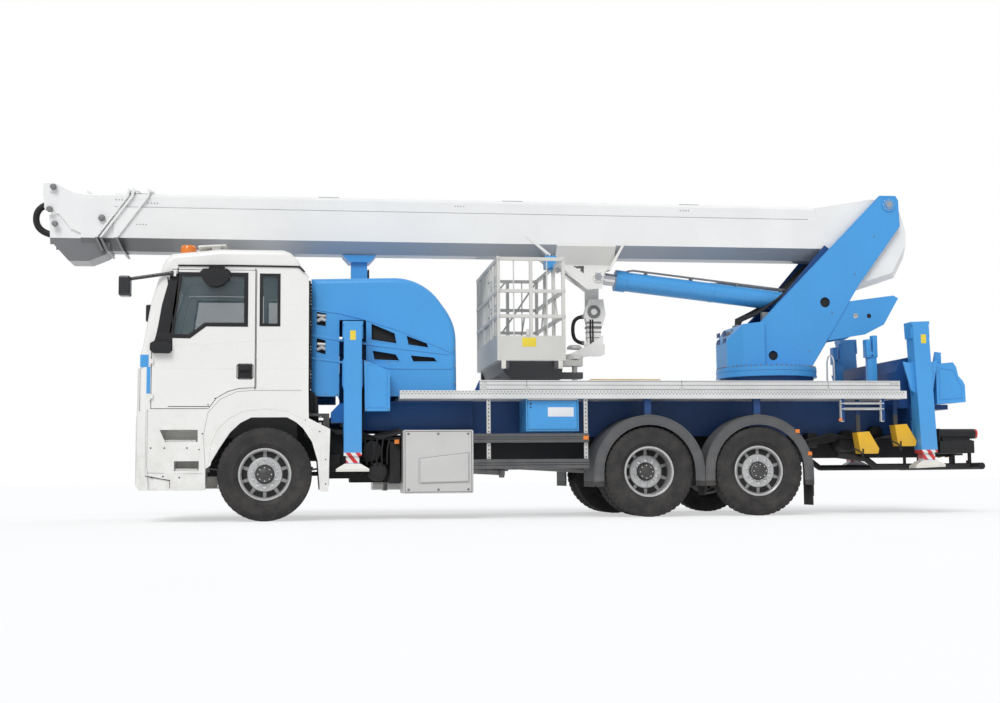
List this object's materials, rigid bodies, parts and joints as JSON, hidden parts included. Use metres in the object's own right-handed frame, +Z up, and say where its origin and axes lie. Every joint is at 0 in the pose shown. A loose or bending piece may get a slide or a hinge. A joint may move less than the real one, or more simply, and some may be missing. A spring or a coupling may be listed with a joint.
{
  "type": "cherry picker truck",
  "caption": "Three-axle truck with a cab, deck and outriggers, and a slewing telescopic boom whose folded jib carries a railed work basket.",
  "frame": {"origin": "on the ground under the middle of the truck's overall length and width", "axes": "front towards -X, left side towards -Y, +Z up"},
  "size_m": [11.8499, 2.8206, 4.1],
  "materials": {
    "amber": "gloss",
    "black_paint": "satin",
    "black_plastic": "matte",
    "blue_paint": "gloss",
    "chrome": "polished",
    "dark_blue_paint": "satin",
    "glass": "clear",
    "interior": "matte",
    "lamp": "gloss",
    "rim": "satin",
    "rubber": "matte",
    "silver": "brushed",
    "steel": "satin",
    "tyre": "matte",
    "white_paint": "gloss",
    "yellow": "matte"
  },
  "bodies": {
    "truck": {"beacons": "amber", "boom_rest": "blue_paint", "cab_front": "white_paint", "cab_glass": "glass", "cab_interior": "interior", "cab_shell": "white_paint", "chassis_frame": "black_paint", "control_box": "blue_paint", "cowl": "blue_paint", "deck": "silver", "engine_block": "steel", "front_axle": "black_paint", "front_fenders": "white_paint", "lamps": "lamp", "rear_axles": "black_paint", "rear_covers": "blue_paint", "rear_mudguards": "black_plastic", "rear_underrun": "black_paint", "side_boxes": "silver", "side_guards": "black_paint", "subframe": "dark_blue_paint", "wheel_chocks": "yellow"},
    "knuckle_left": {"knuckle_left": "black_paint"},
    "knuckle_right": {"knuckle_right": "black_paint"},
    "wheel_front_left": {"tyre_front_left": "tyre", "rim_front_left": "rim"},
    "wheel_front_right": {"tyre_front_right": "tyre", "rim_front_right": "rim"},
    "wheel_drive_left": {"tyre_drive_left": "tyre", "rim_drive_left": "rim"},
    "wheel_drive_right": {"tyre_drive_right": "tyre", "rim_drive_right": "rim"},
    "wheel_tag_left": {"tyre_tag_left": "tyre", "rim_tag_left": "rim"},
    "wheel_tag_right": {"tyre_tag_right": "tyre", "rim_tag_right": "rim"},
    "door_left": {"door_left": "white_paint", "door_glass_left": "glass"},
    "door_right": {"door_right": "white_paint", "door_glass_right": "glass"},
    "outrigger_front_left": {"outrigger_front_left": "blue_paint"},
    "outrigger_front_right": {"outrigger_front_right": "blue_paint"},
    "outrigger_rear_left": {"outrigger_rear_left": "blue_paint"},
    "outrigger_rear_right": {"outrigger_rear_right": "blue_paint"},
    "leg_front_left": {"leg_front_left": "blue_paint"},
    "leg_front_right": {"leg_front_right": "blue_paint"},
    "leg_rear_left": {"leg_rear_left": "blue_paint"},
    "leg_rear_right": {"leg_rear_right": "blue_paint"},
    "turret": {"turret": "blue_paint"},
    "boom": {"boom": "white_paint", "boom_head": "white_paint", "lift_bracket": "white_paint", "jib": "white_paint", "head_hose": "rubber"},
    "lift_barrel": {"lift_barrel": "blue_paint"},
    "lift_rod": {"lift_rod": "chrome"},
    "basket_arm": {"basket_arm": "white_paint", "arm_hose": "rubber"},
    "basket": {"basket": "silver"}
  },
  "joints": [
    {"name": "steer_left", "type": "hinge", "parent": "truck", "child": "knuckle_left", "pos_m": [-3.075, -0.93, 0.535], "axis": [0, 0, 1], "range_deg": [-38, 38]},
    {"name": "spin_front_left", "type": "hinge", "parent": "knuckle_left", "child": "wheel_front_left", "pos_m": [-3.075, -1.09, 0.535], "axis": [0, 1, 0], "continuous": true},
    {"name": "spin_drive_left", "type": "hinge", "parent": "truck", "child": "wheel_drive_left", "pos_m": [1.425, -0.935, 0.535], "axis": [0, 1, 0], "continuous": true},
    {"name": "spin_tag_left", "type": "hinge", "parent": "truck", "child": "wheel_tag_left", "pos_m": [2.775, -1.09, 0.535], "axis": [0, 1, 0], "continuous": true},
    {"name": "door_left_swing", "type": "hinge", "parent": "truck", "child": "door_left", "pos_m": [-4.365, -1.236, 2], "axis": [0, 0, -1], "range_deg": [0, 75]},
    {"name": "outrigger_front_left_out", "type": "slide", "parent": "truck", "child": "outrigger_front_left", "axis": [0, -1, 0], "range_m": [0, 1.5]},
    {"name": "leg_front_left_down", "type": "slide", "parent": "outrigger_front_left", "child": "leg_front_left", "axis": [0, 0, -1], "range_m": [0, 0.55]},
    {"name": "outrigger_rear_left_out", "type": "slide", "parent": "truck", "child": "outrigger_rear_left", "axis": [0, -1, 0], "range_m": [0, 1.5]},
    {"name": "leg_rear_left_down", "type": "slide", "parent": "outrigger_rear_left", "child": "leg_rear_left", "axis": [0.0419, 0, -0.9991], "range_m": [0, 0.55]},
    {"name": "steer_right", "type": "hinge", "parent": "truck", "child": "knuckle_right", "pos_m": [-3.075, 0.93, 0.535], "axis": [0, 0, 1], "range_deg": [-38, 38]},
    {"name": "spin_front_right", "type": "hinge", "parent": "knuckle_right", "child": "wheel_front_right", "pos_m": [-3.075, 1.09, 0.535], "axis": [0, 1, 0], "continuous": true},
    {"name": "spin_drive_right", "type": "hinge", "parent": "truck", "child": "wheel_drive_right", "pos_m": [1.425, 0.935, 0.535], "axis": [0, 1, 0], "continuous": true},
    {"name": "spin_tag_right", "type": "hinge", "parent": "truck", "child": "wheel_tag_right", "pos_m": [2.775, 1.09, 0.535], "axis": [0, 1, 0], "continuous": true},
    {"name": "door_right_swing", "type": "hinge", "parent": "truck", "child": "door_right", "pos_m": [-4.365, 1.236, 2], "axis": [0, 0, 1], "range_deg": [0, 75]},
    {"name": "outrigger_front_right_out", "type": "slide", "parent": "truck", "child": "outrigger_front_right", "axis": [0, 1, 0], "range_m": [0, 1.5]},
    {"name": "leg_front_right_down", "type": "slide", "parent": "outrigger_front_right", "child": "leg_front_right", "axis": [0, 0, -1], "range_m": [0, 0.55]},
    {"name": "outrigger_rear_right_out", "type": "slide", "parent": "truck", "child": "outrigger_rear_right", "axis": [0, 1, 0], "range_m": [0, 1.5]},
    {"name": "leg_rear_right_down", "type": "slide", "parent": "outrigger_rear_right", "child": "leg_rear_right", "axis": [0.0419, 0, -0.9991], "range_m": [0, 0.55]},
    {"name": "slew", "type": "hinge", "parent": "truck", "child": "turret", "pos_m": [3.305, 0, 1.8], "axis": [0, 0, 1], "continuous": true},
    {"name": "luff", "type": "hinge", "parent": "turret", "child": "boom", "pos_m": [4.895, 0, 3.98], "axis": [0, 1, 0], "range_deg": [0, 80]},
    {"name": "barrel_swing", "type": "hinge", "parent": "turret", "child": "lift_barrel", "pos_m": [3.995, 0, 2.69], "axis": [0, 1, 0], "range_deg": [-1, 76.31]},
    {"name": "rod_slide", "type": "slide", "parent": "lift_barrel", "child": "lift_rod", "axis": [-0.9937, 0, 0.1121], "range_m": [-0.01, 2.008]},
    {"name": "basket_level", "type": "hinge", "parent": "boom", "child": "basket_arm", "pos_m": [1.065, 0, 2.6], "axis": [0, 1, 0], "range_deg": [-80, 0]},
    {"name": "basket_yaw", "type": "hinge", "parent": "basket_arm", "child": "basket", "pos_m": [0.775, 0, 1.85], "axis": [0, 0, 1], "range_deg": [-90, 90]}
  ],
  "couplings": [
    {"joint": "steer_right", "follows": "steer_left", "ratio": 1},
    {"joint": "barrel_swing", "follows": "luff", "ratio": 0.9414},
    {"joint": "rod_slide", "follows": "luff", "m_per_rad": 1.4309},
    {"joint": "basket_level", "follows": "luff", "ratio": -1}
  ]
}
